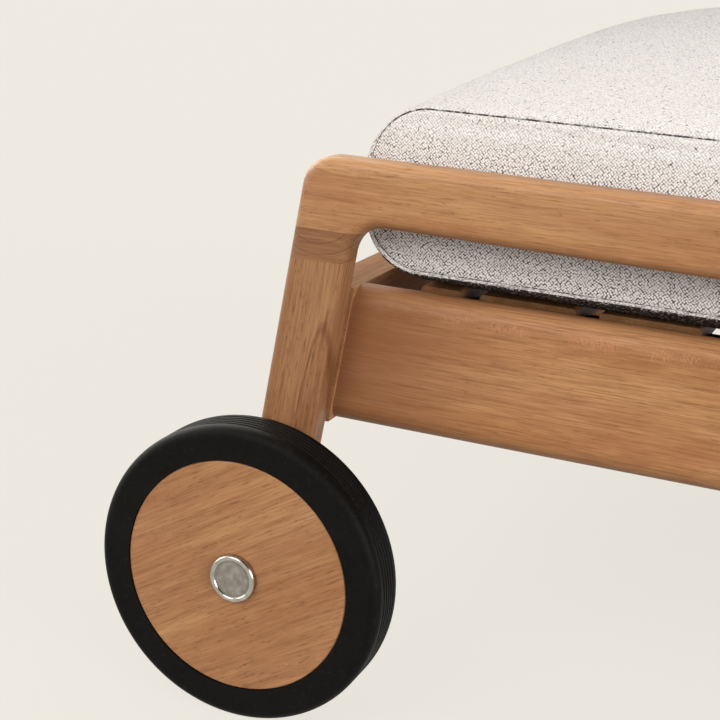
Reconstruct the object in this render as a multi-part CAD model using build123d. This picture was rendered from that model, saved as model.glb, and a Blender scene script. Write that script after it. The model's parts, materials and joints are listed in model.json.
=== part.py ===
from build123d import *
import math
import os

# Outdoor lounger in teak, with two wheels at the head end and a backrest that a prop holds up.
# Millimetres. X runs from the wheels to the foot end, Z is up, and the near side is at -Y.
# The origin lies on the floor under the middle of the whole lounger.

# Whole lounger
overall_length = 2040.0
frame_width = 720.0
deck_height = 273.5
arm_above_deck = 81.0

# Legs and arms, cut from one thickness of board
board_thickness = 24.0
leg_width = 37.0
leg_rake = 8.0
leg_below_axle = 34.0
arm_depth = 38.0
arm_belly = 5.5
arm_corner_radius = 20.0
knee_inner_radius = 21.5
board_edge_radius = 7.0
knee_joint_drop = 43.0
knee_block_height = 19.0
cut_overrun = 20.0
fillet_limit_share = 0.48

# Side rails and cross rails
rail_thickness = 26.0
rail_depth = 88.0
rail_setback = 2.0
rail_edge_radius = 12.5
hinge_rail_offset = 42.0
seat_rail_share = 0.5

# Loose tenons inside the joints
tenon_thickness = 9.0
leg_tenon_length = 20.0
rail_tenon_length = 28.0
leg_tenon_height = 46.0
rail_tenon_height = 46.0
knee_tenon_height = 62.0
knee_tenon_width = 18.0

# Slats and the ledger strips under the seat slats
slat_thickness = 12.0
slat_width = 60.0
slat_gap = 12.0
slat_side_gap = 3.0
slat_edge_radius = 2.5
ledger_width = 16.0
ledger_depth = 22.0
seat_end_gap = 4.0

# Backrest
finger_gap = 32.0
stile_thickness = 24.0
stile_depth = 52.0
stile_side_gap = 2.5
slat_past_hinge = 6.0
seat_slat_past_hinge = 32.0
backrest_range = 60.0

# Hinge of the backrest
hinge_block_thickness = 16.0
hinge_block_half_base = 36.0
hinge_block_clearance = 2.0
hinge_pin_radius = 5.0
hinge_pin_in_rail = 10.0
pin_head_height = 3.0
pin_head_rim = 4.0
face_clearance = 0.2
running_clearance = 0.05

# Prop with its foot bar, and the toothed racks that the bar stands in
prop_length = 330.0
foot_bar_inset = 100.0
prop_arm_depth = 24.0
prop_arm_thickness = 20.0
prop_side_gap = 3.0
prop_pin_radius = 4.0
prop_rail_share = 0.35
prop_rail_width = 22.0
foot_bar_radius = 7.0
foot_bar_end_gap = 2.0
relief_clearance = 3.0
rack_thickness = 16.0
rack_depth = 32.0
rack_clearance = 1.0
rack_overrun = 40.0
notch_depth = 10.0
notch_ramp = 22.0
notch_clearance = 1.0
notch_angles = [20.0, 30.0, 40.0, 50.0, 60.0]

# Wheels
tyre_radius = 96.0
tyre_width = 32.0
tyre_outer_shoulder = 6.0
tyre_inner_shoulder = 5.0
groove_count = 5
groove_width = 2.0
groove_depth = 1.6
groove_margin = 7.0
disc_radius = 75.0
disc_thickness = 28.0
disc_recess = 0.5
disc_edge_radius = 1.5
wheel_gap = 4.0
bush_radius = 9.0
axle_radius = 6.0
axle_in_cap = 2.2
washer_radius = 14.0
cap_radius = 15.4
cap_height = 4.2
cap_rim_width = 3.6
cap_dish_depth = 1.2
nut_width = 19.0
nut_height = 8.0
axle_end_past_nut = 2.0

# Glides under the foot-end legs
glide_thickness = 3.0
glide_length = 26.0
glide_width = 14.0
glide_corner_radius = 5.0

# Mattress cushion
cushion_head_inset = 3.4
cushion_foot_inset = 17.0
cushion_side_gap = 4.0
soft_gap = 0.3
seam_rise = 14.5
panel_height = 96.2
seam_corner_radius = 38.0
cushion_crown = 55.0
cushion_end_bulge = 7.0
cushion_waist = 3.0
cushion_side_shares = [1.0, 0.93, 0.72, 0.36]
cushion_crown_shares = [0.0, 0.4, 0.78, 0.97]

# Places that follow from the sizes above
arm_top = deck_height + arm_above_deck
rake = math.radians(leg_rake)
leg_half_run = leg_width / 2 / math.cos(rake)
cross_rail_run = rail_thickness / math.cos(rake)
axle_x = tyre_radius - overall_length / 2
axle_z = tyre_radius
foot_x = overall_length / 2 - leg_half_run + glide_thickness * math.tan(rake)
leg_outer_y = -frame_width / 2
leg_inner_y = leg_outer_y + board_thickness
rail_outer_y = leg_inner_y + rail_setback
rail_inner_y = rail_outer_y + rail_thickness
rail_bottom = deck_height - rail_depth
slat_bottom = deck_height - slat_thickness
slat_end_y = rail_inner_y + slat_side_gap
tyre_outer_y = leg_outer_y - wheel_gap - tyre_width
knee_top = arm_top - knee_joint_drop
knee_bottom = knee_top - knee_block_height


def head_leg_x(z):
    """Middle of a head-end leg at a height; the legs rake outwards going down."""
    return axle_x + (z - axle_z) * math.tan(rake)


def foot_leg_x(z):
    """Middle of a foot-end leg at a height."""
    return foot_x - z * math.tan(rake)


def head_inner_x(z):
    """Inner edge of a head-end leg, which the head cross rail lies flush with."""
    return head_leg_x(z) + leg_half_run


def foot_inner_x(z):
    """Inner edge of a foot-end leg."""
    return foot_leg_x(z) - leg_half_run


backrest_length = 2 * prop_length + foot_bar_inset
backrest_head_x = head_inner_x(deck_height) + finger_gap
hinge_x = backrest_head_x + backrest_length
hinge_z = slat_bottom - stile_depth / 2
prop_pivot_x = hinge_x - prop_length
foot_bar_x = hinge_x - 2 * prop_length
stile_outer_y = rail_inner_y + hinge_block_thickness + stile_side_gap
stile_inner_y = stile_outer_y + stile_thickness
prop_outer_y = stile_inner_y + prop_side_gap
prop_inner_y = prop_outer_y + prop_arm_thickness
rack_top = hinge_z - foot_bar_radius - rack_clearance
cushion_bottom = deck_height + soft_gap
seam_bottom = cushion_bottom + seam_rise
seam_top = seam_bottom + panel_height
cushion_cut_top = seam_top + cushion_crown + cut_overrun
cushion_half_width = -leg_inner_y - cushion_side_gap
cushion_head_x = head_inner_x(deck_height) + cushion_head_inset
cushion_foot_x = foot_inner_x(deck_height) - cushion_foot_inset

pieces = {}


def on_both_sides(name, near_piece):
    """Keep a near-side piece and its mirror image as two pieces."""
    pieces[name + "_near"] = near_piece
    pieces[name + "_far"] = mirror(near_piece, about=Plane.XZ)


def as_a_pair(name, near_piece):
    """Keep a near-side piece and its mirror image as one set of separate solids."""
    far_piece = mirror(near_piece, about=Plane.XZ)
    pieces[name] = Compound(children=near_piece.solids() + far_piece.solids())


def along_y(outline, y_start, y_end):
    """A solid with an outline in X and Z, between two places along Y."""
    face = Plane.XZ.offset(-y_start) * outline
    return extrude(face, amount=y_end - y_start, dir=(0, 1, 0))


def polygon(*points):
    """A face from its corners."""
    return make_face(Polyline(*points, close=True))


def block(x_range, y_range, z_range):
    """A rectangular block between two places on each axis."""
    low = (x_range[0], y_range[0], z_range[0])
    size = (x_range[1] - x_range[0], y_range[1] - y_range[0], z_range[1] - z_range[0])
    return Pos(*low) * Box(*size, align=(Align.MIN, Align.MIN, Align.MIN))


def rod(x, z, radius, y_start, y_end):
    """A round rod along Y."""
    return along_y(Pos(x, z) * Circle(radius), y_start, y_end)


def slab(z_low, z_high):
    """All that lies between two heights, a little wider than the lounger."""
    reach = overall_length / 2 + cut_overrun
    width = frame_width / 2 + cut_overrun
    return block((-reach, reach), (-width, width), (z_low, z_high))


# Side frames: an arm, two knee blocks and two legs on each side
def side_frame():
    """Arm and legs of one side in one outline, with every long edge rounded."""
    low = -cut_overrun
    underside = arm_top - arm_depth
    middle = (head_inner_x(underside) + foot_inner_x(underside)) / 2
    edges = Polyline(
        (head_inner_x(underside), underside),
        (head_inner_x(low), low),
        (head_leg_x(low) - leg_half_run, low),
        (head_leg_x(arm_top) - leg_half_run, arm_top),
        (foot_leg_x(arm_top) + leg_half_run, arm_top),
        (foot_leg_x(low) + leg_half_run, low),
        (foot_inner_x(low), low),
        (foot_inner_x(underside), underside),
    )
    belly = ThreePointArc(edges @ 1, (middle, underside - arm_belly), edges @ 0)
    outline = make_face([edges, belly])
    outline = fillet(outline.vertices().group_by(Axis.Y)[-1], radius=arm_corner_radius)
    inner_corners = [v for v in outline.vertices() if abs(v.Y - underside) < arm_belly / 2]
    inner_corners = [v for v in inner_corners if abs(v.X - middle) > overall_length / 4]
    outline = fillet(inner_corners, radius=knee_inner_radius)
    frame = along_y(outline, leg_outer_y, leg_inner_y)
    side_edges = [e for e in frame.faces().filter_by(Axis.Y).edges() if e.center().Z > 0]
    return fillet(side_edges, radius=min(board_edge_radius, board_thickness * fillet_limit_share))


def knee_tenon(leg_x, lean):
    """Loose tenon along a leg, through its knee block into the arm."""
    middle_z = (knee_top + knee_bottom) / 2
    blank = Box(knee_tenon_width, tenon_thickness, knee_tenon_height)
    place = Pos(leg_x(middle_z), leg_outer_y + board_thickness / 2, middle_z)
    return place * Rot(0, lean, 0) * blank


def leg_tenon(inner_x, inwards):
    """Loose tenon between a leg and the end of its cross rail."""
    middle_z = deck_height - rail_depth / 2
    low = middle_z - leg_tenon_height / 2
    high = middle_z + leg_tenon_height / 2
    near_run = inwards * (cross_rail_run - tenon_thickness) / 2
    far_run = inwards * (cross_rail_run + tenon_thickness) / 2
    outline = polygon(
        (inner_x(low) - near_run, low),
        (inner_x(low) - far_run, low),
        (inner_x(high) - far_run, high),
        (inner_x(high) - near_run, high),
    )
    return along_y(outline, leg_inner_y - leg_tenon_length / 2, leg_inner_y + leg_tenon_length / 2)


def corner_space(inner_x, inwards, z_low, z_high):
    """Space round one end of a side frame between two heights."""
    inner_end = inner_x(z_high) + inwards * 2 * knee_inner_radius
    outer_end = inner_end - inwards * overall_length / 4
    width = frame_width / 2 + cut_overrun
    return block(sorted((inner_end, outer_end)), (-width, width), (z_low, z_high))


def build_side_frames():
    """Cut each side frame into its arm, knee blocks and legs."""
    frame = side_frame()
    knee_tenons = [knee_tenon(head_leg_x, leg_rake), knee_tenon(foot_leg_x, -leg_rake)]
    leg_tenons = [leg_tenon(head_inner_x, 1), leg_tenon(foot_inner_x, -1)]
    for tenon in knee_tenons + leg_tenons:
        frame = frame - tenon
    head_corner = corner_space(head_inner_x, 1, knee_bottom, knee_top)
    foot_corner = corner_space(foot_inner_x, -1, knee_bottom, knee_top)
    arm = (frame & slab(knee_bottom, arm_top)) - head_corner - foot_corner
    knees = [frame & head_corner, frame & foot_corner]
    legs = (frame & slab(glide_thickness, knee_bottom)).solids().sort_by(Axis.X)
    head_leg = legs[0] & slab(axle_z - leg_below_axle, arm_top)
    head_leg = head_leg - rod(axle_x, axle_z, axle_radius, leg_outer_y, leg_inner_y)
    on_both_sides("arm", arm)
    on_both_sides("knee_block_head", knees[0])
    on_both_sides("knee_block_foot", knees[1])
    on_both_sides("leg_head", head_leg)
    on_both_sides("leg_foot", legs[1])
    as_a_pair("knee_tenons", Compound(children=knee_tenons))
    as_a_pair("leg_tenons", Compound(children=leg_tenons))


def build_glides():
    """Glides set in the feet of the foot-end legs."""
    outline = RectangleRounded(glide_length, glide_width, glide_corner_radius)
    place = Pos(foot_leg_x(0), leg_outer_y + board_thickness / 2, 0)
    as_a_pair("foot_glides", place * extrude(outline, amount=glide_thickness))


# Rails: two side rails between two leaning cross rails, and two upright cross rails
def rail_tenon(inner_x, inwards):
    """Loose tenon between a cross rail and the end of a side rail."""
    middle_z = deck_height - rail_depth / 2
    middle_y = (rail_outer_y + rail_inner_y) / 2
    depth = rail_thickness / 2
    near_end = inner_x(middle_z) - inwards * depth
    far_end = inner_x(middle_z) + inwards * rail_tenon_length
    return block(
        sorted((near_end, far_end)),
        (middle_y - tenon_thickness / 2, middle_y + tenon_thickness / 2),
        (middle_z - rail_tenon_height / 2, middle_z + rail_tenon_height / 2),
    )


def side_rail():
    """Near side rail, with its ends cut to the lean of the cross rails."""
    outline = polygon(
        (head_inner_x(rail_bottom), rail_bottom),
        (head_inner_x(deck_height), deck_height),
        (foot_inner_x(deck_height), deck_height),
        (foot_inner_x(rail_bottom), rail_bottom),
    )
    rail = along_y(outline, rail_outer_y, rail_inner_y)
    rounding = min(rail_edge_radius, rail_thickness * fillet_limit_share)
    rail = fillet(rail.edges().filter_by(Axis.X), radius=rounding)
    return rail - rod(hinge_x, hinge_z, hinge_pin_radius, rail_inner_y - hinge_pin_in_rail, rail_inner_y)


def leaning_cross_rail(inner_x, inwards):
    """Cross rail that leans with the legs and spans between them."""
    outline = polygon(
        (inner_x(rail_bottom), rail_bottom),
        (inner_x(deck_height), deck_height),
        (inner_x(deck_height) - inwards * cross_rail_run, deck_height),
        (inner_x(rail_bottom) - inwards * cross_rail_run, rail_bottom),
    )
    return along_y(outline, leg_inner_y, -leg_inner_y)


def build_rails():
    """Side rails, cross rails, ledger strips and the tenons that join them."""
    near_rail = side_rail()
    head_rail = leaning_cross_rail(head_inner_x, 1)
    foot_rail = leaning_cross_rail(foot_inner_x, -1)
    rail_tenons = [rail_tenon(head_inner_x, 1), rail_tenon(foot_inner_x, -1)]
    leg_tenons = [leg_tenon(head_inner_x, 1), leg_tenon(foot_inner_x, -1)]
    for tenon in rail_tenons:
        near_rail = near_rail - tenon
    for tenon in rail_tenons + leg_tenons:
        head_rail = head_rail - tenon - mirror(tenon, about=Plane.XZ)
        foot_rail = foot_rail - tenon - mirror(tenon, about=Plane.XZ)
    on_both_sides("side_rail", near_rail)
    pieces["head_cross_rail"] = head_rail
    pieces["foot_cross_rail"] = foot_rail
    as_a_pair("rail_tenons", Compound(children=rail_tenons))

    across = (rail_inner_y, -rail_inner_y)
    hinge_rail_x = hinge_x + hinge_rail_offset
    hinge_rail_end = hinge_rail_x + rail_thickness
    pieces["hinge_cross_rail"] = block((hinge_rail_x, hinge_rail_end), across, (rail_bottom, slat_bottom))
    ledger_end = foot_inner_x(slat_bottom)
    ledger_bottom = slat_bottom - ledger_depth
    seat_rail_x = hinge_rail_end + (ledger_end - hinge_rail_end) * seat_rail_share
    seat_rail_range = (seat_rail_x - rail_thickness / 2, seat_rail_x + rail_thickness / 2)
    pieces["seat_cross_rail"] = block(seat_rail_range, across, (rail_bottom, ledger_bottom))
    ledger_y = (rail_inner_y, rail_inner_y + ledger_width)
    ledger = block((hinge_rail_end, ledger_end), ledger_y, (ledger_bottom, slat_bottom))
    on_both_sides("ledger", ledger)


# Slats
def slat_row(x_start, x_end):
    """Evenly spaced slats that fill a length, with their upper long edges rounded."""
    count = max(2, round((x_end - x_start + slat_gap) / (slat_width + slat_gap)))
    pitch = (x_end - x_start - slat_width) / (count - 1)
    blank = block((0, slat_width), (slat_end_y, -slat_end_y), (slat_bottom, deck_height))
    upper_edges = blank.edges().filter_by(Axis.Y).group_by(Axis.Z)[-1]
    slat = fillet(upper_edges, radius=min(slat_edge_radius, slat_thickness * fillet_limit_share))
    return Compound(children=[Pos(x_start + index * pitch, 0, 0) * slat for index in range(count)])


def build_slats():
    """Seat slats on the ledgers, and backrest slats on the stiles."""
    seat_end = foot_inner_x(deck_height) - seat_end_gap
    pieces["seat_slats"] = slat_row(hinge_x + seat_slat_past_hinge, seat_end)
    backrest_start = backrest_head_x + rail_thickness + slat_gap
    pieces["backrest_slats"] = slat_row(backrest_start, hinge_x + slat_past_hinge)


# Backrest frame, its hinge and its prop
def stile():
    """Near stile: a full round eye at the hinge, and a relief for the foot bar at rest."""
    start = backrest_head_x + rail_thickness
    radius = stile_depth / 2
    bar = polygon(
        (start, hinge_z - radius),
        (start, hinge_z + radius),
        (hinge_x, hinge_z + radius),
        (hinge_x, hinge_z - radius),
    )
    eye = Pos(hinge_x, hinge_z) * Circle(radius)
    relief_radius = foot_bar_radius + relief_clearance
    relief = Pos(foot_bar_x, hinge_z) * Circle(relief_radius)
    relief += polygon(
        (foot_bar_x - relief_radius, hinge_z),
        (foot_bar_x + relief_radius, hinge_z),
        (foot_bar_x + relief_radius, hinge_z - radius - relief_radius),
        (foot_bar_x - relief_radius, hinge_z - radius - relief_radius),
    )
    hinge_bore = Pos(hinge_x, hinge_z) * Circle(hinge_pin_radius + running_clearance)
    prop_bore = Pos(prop_pivot_x, hinge_z) * Circle(prop_pin_radius)
    return along_y(bar + eye - relief - hinge_bore - prop_bore, stile_outer_y, stile_inner_y)


def hinge_block():
    """Near hinge block: a round head that clears the slats, on a spread base."""
    head_radius = stile_depth / 2 - hinge_block_clearance
    base_z = rack_top - rack_depth
    head = Pos(hinge_x, hinge_z) * Circle(head_radius)
    base = Line((hinge_x - hinge_block_half_base, base_z), (hinge_x + hinge_block_half_base, base_z))
    outline = make_hull(head.edges() + base.edges())
    outline = outline - Pos(hinge_x, hinge_z) * Circle(hinge_pin_radius)
    return along_y(outline, rail_inner_y, rail_inner_y + hinge_block_thickness)


def headed_pin(x, z, radius, y_start, y_end):
    """A pin along Y with a flat head at its inner end."""
    head = rod(x, z, radius + pin_head_rim, y_end, y_end + pin_head_height)
    return rod(x, z, radius, y_start, y_end) + head


def washer(x, z, radius, outer_radius, y_start, y_end):
    """A flat ring round a pin or an axle."""
    ring = Pos(x, z) * Circle(outer_radius) - Pos(x, z) * Circle(radius)
    return along_y(ring, y_start, y_end)


def rack():
    """Near rack: a board with a saw-tooth notch for each set angle of the backrest."""
    x_start = foot_bar_x - rack_overrun
    x_end = prop_pivot_x + rack_overrun
    bottom = rack_top - rack_depth
    outline = polygon((x_start, bottom), (x_start, rack_top), (x_end, rack_top), (x_end, bottom))
    seat_radius = foot_bar_radius + notch_clearance
    for angle in notch_angles:
        bar_x = hinge_x - 2 * prop_length * math.cos(math.radians(angle))
        seat_z = rack_top - notch_depth + seat_radius
        notch = Pos(bar_x, seat_z) * Circle(seat_radius)
        notch += polygon(
            (bar_x - seat_radius, seat_z),
            (bar_x - seat_radius, rack_top + notch_depth),
            (bar_x + seat_radius + notch_ramp, rack_top + notch_depth),
            (bar_x + seat_radius + notch_ramp, rack_top),
            (bar_x + seat_radius, seat_z),
        )
        outline = outline - notch
    return along_y(outline, rail_inner_y, rail_inner_y + rack_thickness)


def prop_arm():
    """Near prop arm, with rounded ends about its pivot and the foot bar."""
    radius = prop_arm_depth / 2
    outline = Pos(prop_pivot_x, hinge_z) * Circle(radius)
    outline += Pos(foot_bar_x, hinge_z) * Circle(radius)
    outline += polygon(
        (foot_bar_x, hinge_z - radius),
        (foot_bar_x, hinge_z + radius),
        (prop_pivot_x, hinge_z + radius),
        (prop_pivot_x, hinge_z - radius),
    )
    outline = outline - Pos(prop_pivot_x, hinge_z) * Circle(prop_pin_radius + running_clearance)
    outline = outline - Pos(foot_bar_x, hinge_z) * Circle(foot_bar_radius)
    return along_y(outline, prop_outer_y, prop_inner_y)


def build_backrest():
    """Backrest frame with its hinge on the side rails."""
    on_both_sides("backrest_stile", stile())
    head_rail_x = (backrest_head_x, backrest_head_x + rail_thickness)
    head_rail_z = (slat_bottom - stile_depth, deck_height)
    head_rail = block(head_rail_x, (slat_end_y, -slat_end_y), head_rail_z)
    upper_edges = head_rail.edges().filter_by(Axis.Y).group_by(Axis.Z)[-1]
    pieces["backrest_head_rail"] = fillet(upper_edges, radius=slat_edge_radius)
    on_both_sides("hinge_block", hinge_block())
    block_face = rail_inner_y + hinge_block_thickness
    pin_start = rail_inner_y - hinge_pin_in_rail
    hinge_pin = headed_pin(hinge_x, hinge_z, hinge_pin_radius, pin_start, stile_inner_y + face_clearance)
    as_a_pair("hinge_pins", hinge_pin)
    ring = washer(
        hinge_x,
        hinge_z,
        hinge_pin_radius,
        hinge_pin_radius + pin_head_rim,
        block_face,
        stile_outer_y - face_clearance,
    )
    as_a_pair("hinge_washers", ring)


def build_prop():
    """Prop arms on pins in the stiles, their cross rail and foot bar, and the racks."""
    on_both_sides("prop_arm", prop_arm())
    rail_x = prop_pivot_x - prop_length * prop_rail_share
    rail_range = (rail_x - prop_rail_width / 2, rail_x + prop_rail_width / 2)
    rail_heights = (hinge_z - prop_arm_depth / 2, hinge_z + prop_arm_depth / 2)
    pieces["prop_cross_rail"] = block(rail_range, (prop_inner_y, -prop_inner_y), rail_heights)
    bar_end = rail_inner_y + foot_bar_end_gap
    pieces["prop_foot_bar"] = rod(foot_bar_x, hinge_z, foot_bar_radius, bar_end, -bar_end)
    pin_end = prop_inner_y + face_clearance
    as_a_pair("prop_pins", headed_pin(prop_pivot_x, hinge_z, prop_pin_radius, stile_outer_y, pin_end))
    ring = washer(
        prop_pivot_x,
        hinge_z,
        prop_pin_radius,
        prop_pin_radius + pin_head_rim,
        stile_inner_y,
        prop_outer_y - face_clearance,
    )
    as_a_pair("prop_washers", ring)
    on_both_sides("rack", rack())


# Wheels
def turned(outline):
    """A turned piece of the near wheel: its outline has the radius first, then the depth inwards."""
    place = Plane(origin=(axle_x, tyre_outer_y, axle_z), x_dir=(1, 0, 0), z_dir=(0, 0, 1))
    return revolve(place * outline, axis=Axis(place.origin, (0, 1, 0)))


def tyre():
    """Rubber tyre with rounded shoulders and grooves round its tread."""
    tread_start = tyre_outer_shoulder + groove_margin / 2
    tread_end = tyre_width - tyre_inner_shoulder - groove_margin / 2
    pitch = (tread_end - tread_start) / (groove_count - 1)
    points = [(disc_radius, 0), (tyre_radius, 0)]
    for index in range(groove_count):
        middle = tread_start + index * pitch
        points.append((tyre_radius, middle - groove_width / 2))
        points.append((tyre_radius - groove_depth, middle))
        points.append((tyre_radius, middle + groove_width / 2))
    points += [(tyre_radius, tyre_width), (disc_radius, tyre_width)]
    outline = polygon(*points)
    outer_corner = outline.vertices().sort_by_distance((tyre_radius, 0))[0]
    outline = fillet(outer_corner, radius=tyre_outer_shoulder)
    inner_corner = outline.vertices().sort_by_distance((tyre_radius, tyre_width))[0]
    outline = fillet(inner_corner, radius=tyre_inner_shoulder)
    return turned(outline)


def wheel_disc():
    """Teak disc, set a little behind the tyre's face, with eased rims."""
    outline = polygon(
        (bush_radius, disc_recess),
        (disc_radius, disc_recess),
        (disc_radius, disc_recess + disc_thickness),
        (bush_radius, disc_recess + disc_thickness),
    )
    rim = outline.vertices().group_by(Axis.X)[-1]
    return turned(fillet(rim, radius=disc_edge_radius))


def wheel_cap():
    """Turned steel cap on the end of the axle, with a round rim and a dished middle."""
    back = disc_recess - soft_gap
    front = back - cap_height
    socket = back - axle_in_cap
    rim_start = cap_radius - cap_rim_width
    outline = make_face(
        [
            Line((axle_radius, back), (cap_radius, back)),
            Line((cap_radius, back), (cap_radius, front + cap_rim_width / 2)),
            ThreePointArc(
                (cap_radius, front + cap_rim_width / 2),
                (cap_radius - cap_rim_width / 2, front),
                (rim_start, front + cap_dish_depth),
            ),
            Line((rim_start, front + cap_dish_depth), (0, front + cap_dish_depth)),
            Line((0, front + cap_dish_depth), (0, socket)),
            Line((0, socket), (axle_radius, socket)),
            Line((axle_radius, socket), (axle_radius, back)),
        ]
    )
    return turned(outline)


def build_wheels():
    """Wheels on short axles through the head-end legs."""
    on_both_sides("tyre", tyre())
    on_both_sides("wheel_disc", wheel_disc())
    bush_start = tyre_outer_y + disc_recess
    bush_end = leg_outer_y - wheel_gap
    bush = washer(axle_x, axle_z, axle_radius + running_clearance, bush_radius, bush_start, bush_end)
    on_both_sides("wheel_bush", bush)
    on_both_sides("wheel_cap", wheel_cap())
    axle_start = tyre_outer_y + disc_recess - soft_gap - axle_in_cap
    axle_end = leg_inner_y + nut_height + axle_end_past_nut
    on_both_sides("axle", rod(axle_x, axle_z, axle_radius, axle_start, axle_end))
    spacer_start = leg_outer_y - wheel_gap + face_clearance
    spacer = washer(axle_x, axle_z, axle_radius, washer_radius, spacer_start, leg_outer_y)
    as_a_pair("axle_washers", spacer)
    hexagon = RegularPolygon(nut_width / 2, 6, major_radius=False)
    nut = Pos(axle_x, axle_z) * (hexagon - Circle(axle_radius))
    as_a_pair("axle_nuts", along_y(nut, leg_inner_y, leg_inner_y + nut_height))


# Mattress cushion in two halves with a fold between them over the hinge
def cushion_section(side_share, crown_share):
    """Side outline of the cushion at a share of its half width, grown by a share of its crown."""
    grow_top = cushion_crown * crown_share
    grow_bottom = seam_rise * 2 * crown_share
    grow_end = cushion_end_bulge * crown_share
    length = cushion_foot_x - cushion_head_x + 2 * grow_end
    height = seam_top - seam_bottom + grow_top + grow_bottom
    middle_x = (cushion_head_x + cushion_foot_x) / 2
    middle_z = (seam_top + grow_top + seam_bottom - grow_bottom) / 2
    rounding = min(seam_corner_radius + grow_top, height * fillet_limit_share)
    outline = Pos(middle_x, middle_z) * RectangleRounded(length, height, rounding)
    return Plane.XZ.offset(-side_share * cushion_half_width) * outline


def whole_cushion():
    """Crowned mattress: loft across its width, flat underneath and drawn in along its sides."""
    shares = list(zip(cushion_side_shares, cushion_crown_shares))
    sections = [cushion_section(-side, crown) for side, crown in shares]
    sections.append(cushion_section(0, 1))
    sections += [cushion_section(side, crown) for side, crown in reversed(shares)]
    body = loft(sections)
    reach = overall_length / 2
    body = body & slab(cushion_bottom, cushion_cut_top)
    half = cushion_half_width
    plan = make_face(
        [
            Line((-reach, half), (-reach, -half)),
            ThreePointArc((-reach, -half), (0, cushion_waist - half), (reach, -half)),
            Line((reach, -half), (reach, half)),
            ThreePointArc((reach, half), (0, half - cushion_waist), (-reach, half)),
        ]
    )
    return body & extrude(plan, amount=cushion_cut_top)


def fold_wedge(apex_drop):
    """Wedge that closes when the backrest is at its steepest, opening upwards from the hinge."""
    height = cushion_cut_top
    run = height * math.tan(math.radians(backrest_range / 2))
    apex_z = hinge_z - apex_drop
    outline = polygon((hinge_x, apex_z), (hinge_x + run, apex_z + height), (hinge_x - run, apex_z + height))
    return along_y(outline, leg_outer_y, -leg_outer_y)


def build_cushion():
    """Seat half, back half and the fold between them."""
    cushion = whole_cushion()
    apex_drop = soft_gap / math.sin(math.radians(backrest_range / 2))
    halves = (cushion - fold_wedge(apex_drop)).solids().sort_by(Axis.X)
    pieces["cushion_back"] = halves[0]
    pieces["cushion_seat"] = halves[1]
    pieces["cushion_fold"] = cushion & fold_wedge(0)


build_side_frames()
build_glides()
build_rails()
build_slats()
build_backrest()
build_prop()
build_wheels()
build_cushion()

os.makedirs("parts", exist_ok=True)
for piece_name, piece in pieces.items():
    export_step(piece, "parts/" + piece_name + ".step")
print(len(pieces), "pieces; hinge at", round(hinge_x, 2), round(hinge_z, 2))
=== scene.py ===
import bpy
import json
import math
import numpy as np
from mathutils import Matrix, Vector, kdtree


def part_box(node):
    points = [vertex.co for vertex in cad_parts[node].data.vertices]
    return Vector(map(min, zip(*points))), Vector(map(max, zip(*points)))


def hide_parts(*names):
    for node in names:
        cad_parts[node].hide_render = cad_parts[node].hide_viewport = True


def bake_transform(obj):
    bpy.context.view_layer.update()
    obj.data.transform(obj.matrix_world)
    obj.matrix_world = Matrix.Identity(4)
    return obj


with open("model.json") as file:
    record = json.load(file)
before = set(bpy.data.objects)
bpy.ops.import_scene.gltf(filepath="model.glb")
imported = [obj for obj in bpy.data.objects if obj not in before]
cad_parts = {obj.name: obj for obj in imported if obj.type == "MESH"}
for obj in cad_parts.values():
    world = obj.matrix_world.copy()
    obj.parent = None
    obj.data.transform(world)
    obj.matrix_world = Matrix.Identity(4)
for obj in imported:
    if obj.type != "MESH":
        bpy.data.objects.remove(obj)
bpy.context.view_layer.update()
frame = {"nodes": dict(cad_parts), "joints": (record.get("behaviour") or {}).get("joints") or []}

# Viewpoint: place in metres, turns, lens and sensor in millimetres, and nearest depth in metres
camera_place = Vector((-0.5391, -1.1461, 0.4903))
camera_yaw = math.radians(-22.4433)
camera_pitch = math.radians(16.5996)
camera_roll = math.radians(-3.3802)
camera_lens = 74.738
sensor_width = 36.0
nearest_depth = 0.05


def make_camera():
    """Camera at the viewpoint, looking forward and down."""
    data = bpy.data.cameras.new("camera")
    data.lens = camera_lens
    data.sensor_width = sensor_width
    data.clip_start = nearest_depth
    camera = bpy.data.objects.new("camera", data)
    bpy.context.scene.collection.objects.link(camera)
    forward = Vector((
        math.sin(camera_yaw) * math.cos(camera_pitch),
        math.cos(camera_yaw) * math.cos(camera_pitch),
        -math.sin(camera_pitch),
    ))
    level_right = Vector((math.cos(camera_yaw), -math.sin(camera_yaw), 0))
    level_down = forward.cross(level_right)
    right = math.cos(camera_roll) * level_right + math.sin(camera_roll) * level_down
    up = math.sin(camera_roll) * level_right - math.cos(camera_roll) * level_down
    turn = Matrix((right, up, -forward)).transposed().to_4x4()
    camera.matrix_world = Matrix.Translation(camera_place) @ turn
    bpy.context.scene.camera = camera


# Teak tones: pale, middle, deep, the dark of its open pores, and its rosy streaks
teak_tones = ((206, 156, 107), (182, 128, 84), (138, 88, 56), (90, 54, 32), (182, 126, 94))
# Tone of the pale ray flecks along a side rail
teak_ray = (206, 148, 108)
# How far the painted shade at the ends of a side rail reaches, in metres; it stands for the soft shadow of the legs
end_shade_reach = 0.14
# Rows of knots in a metre of the cushion's fabric, along each slanting side of its lattice
knot_rows = 490.0
# Threads in a metre of the charcoal cloth under the cushion, which is painted shade for the deep shadow there
shadow_cloth_rows = 900.0
# Radius of the dull dish in a wheel cap, as a share of the cap's
cap_dish_share = 0.72
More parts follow.
